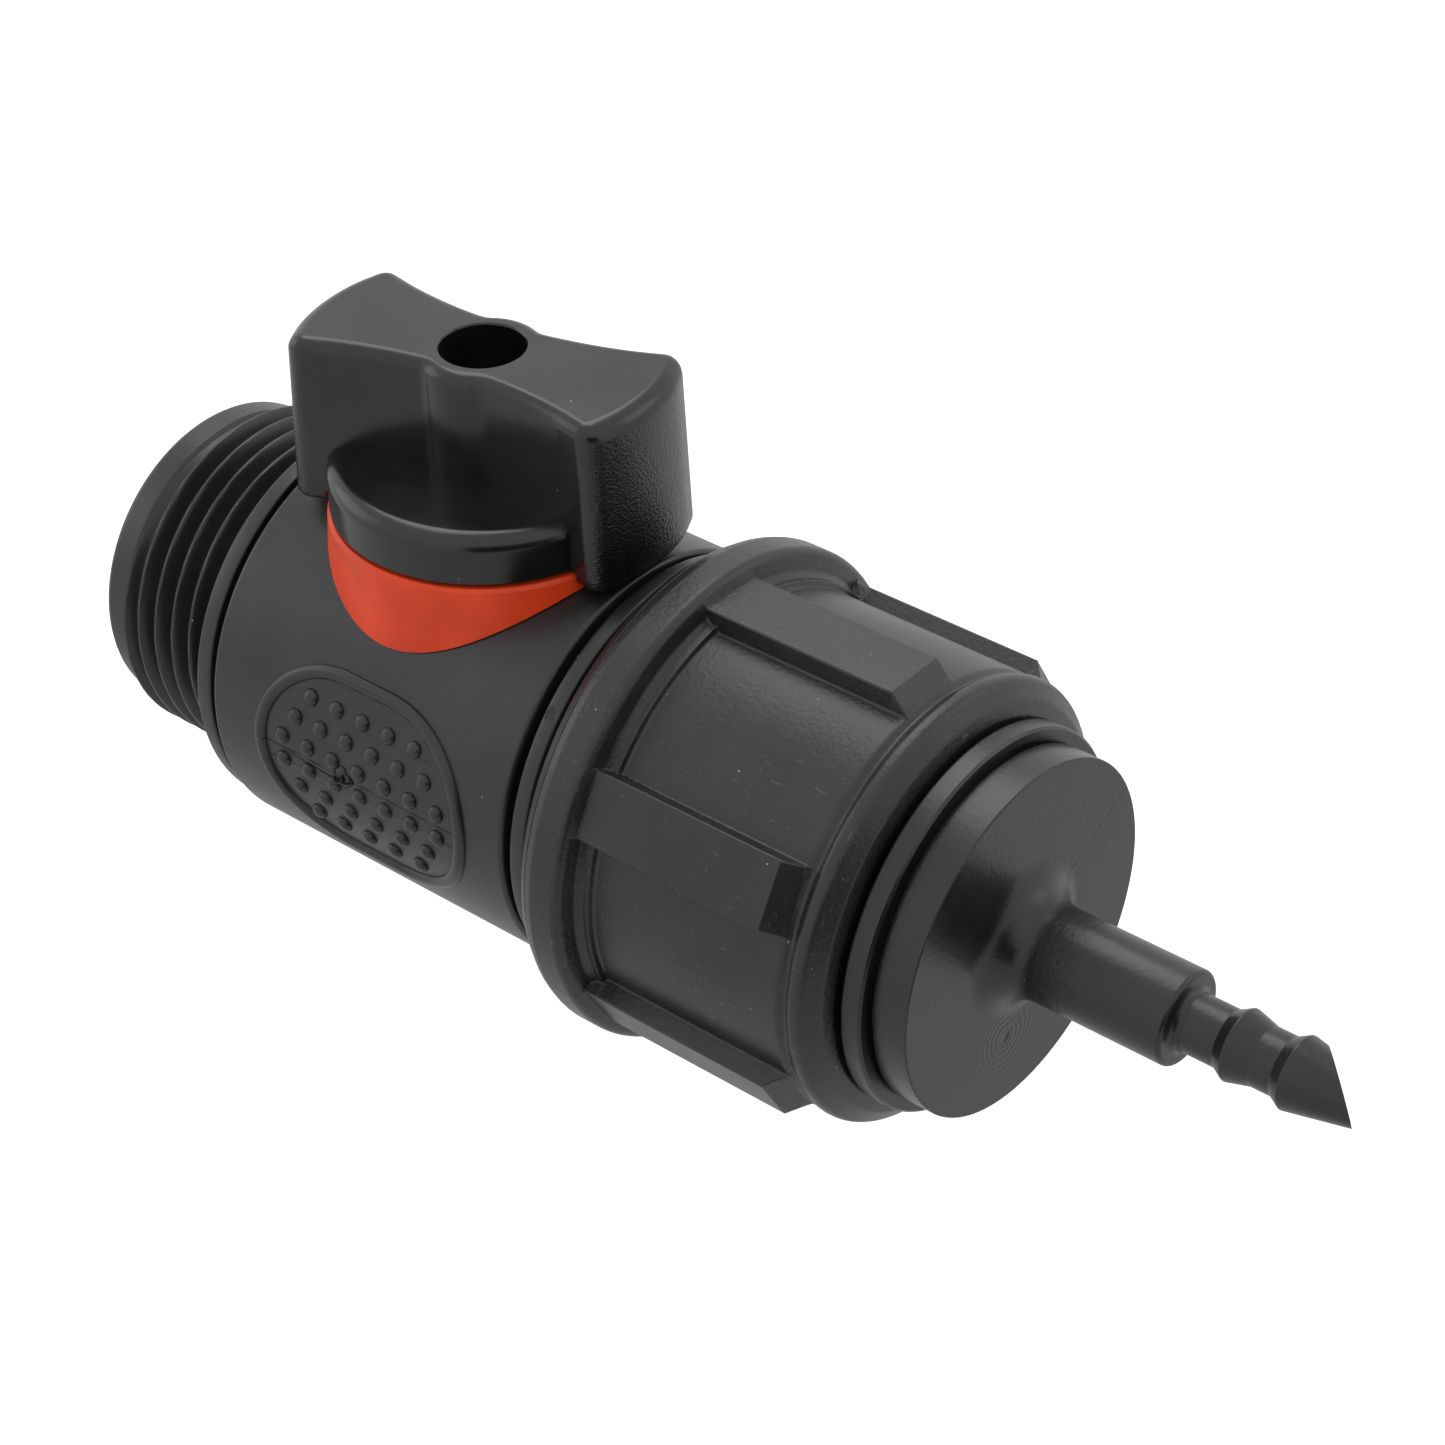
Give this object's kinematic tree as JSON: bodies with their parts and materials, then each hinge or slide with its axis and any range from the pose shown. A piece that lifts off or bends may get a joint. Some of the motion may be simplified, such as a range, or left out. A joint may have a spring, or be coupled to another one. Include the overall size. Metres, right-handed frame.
{
  "type": "inline ball valve with barbed plug",
  "caption": "Inline quarter-turn ball valve: male threaded inlet, butterfly handle over a coloured collar, ribbed compression nut and a barbed micro-tube plug.",
  "frame": {"origin": "centre of the inlet's end face, on the waterway's axis", "axes": "+X along the waterway from the inlet to the barb, +Z along the stem to the handle"},
  "size_m": [0.1032, 0.0374, 0.0478],
  "materials": {
    "body_black": "satin moulded",
    "handle_black": "semi-gloss moulded",
    "nut_black": "finely textured moulded",
    "plug_black": "satin moulded",
    "carrier_black": "satin moulded",
    "indicator_orange": "satin moulded",
    "seat_white": "smooth",
    "acetal_white": "smooth",
    "ball_grey": "polished",
    "seal_rubber": "matte",
    "screw_steel": "machined"
  },
  "bodies": {
    "body": {"valve_body": "body_black", "indicator_collar": "indicator_orange", "seat_inlet": "seat_white", "seat_outlet": "seat_white", "seat_ring_inlet": "seal_rubber", "seat_ring_outlet": "seal_rubber", "seat_carrier": "carrier_black", "carrier_ring": "seal_rubber", "spigot_ring": "seal_rubber", "pressing_bush": "carrier_black", "stem_washer": "acetal_white"},
    "handle_stem": {"handle": "handle_black", "handle_screw": "screw_steel", "stem": "acetal_white", "stem_ring_lower": "seal_rubber", "stem_ring_upper": "seal_rubber"},
    "ball": {"ball": "ball_grey"},
    "plug": {"barb_plug": "plug_black", "grip_ring": "acetal_white"},
    "nut": {"compression_nut": "nut_black"}
  },
  "joints": [
    {"name": "handle_turn", "type": "hinge", "parent": "body", "child": "handle_stem", "pos_m": [0.03, 0, 0.0291], "axis": [0, 0, 1], "range_deg": [-8.2, 81.8]},
    {"name": "ball_turn", "type": "hinge", "parent": "body", "child": "ball", "pos_m": [0.03, 0, 0], "axis": [0, 0, 1], "range_deg": [-8.3, 81.9]},
    {"name": "nut_turn", "type": "hinge", "parent": "plug", "child": "nut", "pos_m": [0.06, 0, 0], "axis": [1, 0, 0], "range_deg": [0, 720]},
    {"name": "plug_draw", "type": "slide", "parent": "body", "child": "plug", "axis": [1, 0, 0], "range_m": [0, 0.00601]}
  ],
  "couplings": [
    {"joint": "ball_turn", "follows": "handle_turn", "ratio": 1},
    {"joint": "plug_draw", "follows": "nut_turn", "m_per_rad": 0.00047746}
  ]
}
